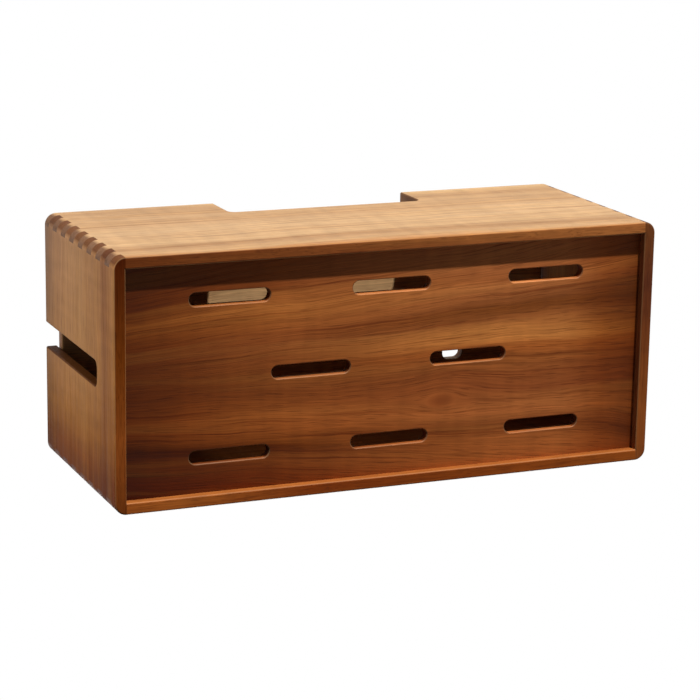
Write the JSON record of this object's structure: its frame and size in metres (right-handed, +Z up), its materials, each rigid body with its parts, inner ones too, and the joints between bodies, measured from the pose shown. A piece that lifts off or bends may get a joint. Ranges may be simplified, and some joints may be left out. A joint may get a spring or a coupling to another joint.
{
  "type": "cable management box",
  "caption": "Wooden box that hides a power strip and its cables: finger-jointed walls, a cable notch, end slots, a vented bottom and a lift-off lid with a cable hole.",
  "frame": {"origin": "middle of the box's footprint, on the surface that its lower rim stands on", "axes": "+X right along the length, +Y from the notched front wall to the plain back wall, +Z up through the lid"},
  "size_m": [0.32, 0.14, 0.13],
  "materials": {
    "front_wood": "oiled acacia",
    "wall_wood": "oiled acacia",
    "bottom_wood": "oiled acacia",
    "lid_wood": "oiled acacia",
    "block_wood": "oiled acacia"
  },
  "bodies": {
    "case": {"front_panel": "front_wood", "back_panel": "wall_wood", "left_end_panel": "wall_wood", "right_end_panel": "wall_wood", "bottom_panel": "bottom_wood", "front_left_corner_block": "block_wood", "front_right_corner_block": "block_wood", "back_left_corner_block": "block_wood", "back_right_corner_block": "block_wood"},
    "lid": {"lid_panel": "lid_wood"}
  },
  "joints": [
    {"name": "lid_lift", "type": "slide", "parent": "case", "child": "lid", "axis": [0, 0, 1], "range_m": [0, 0.09]}
  ]
}
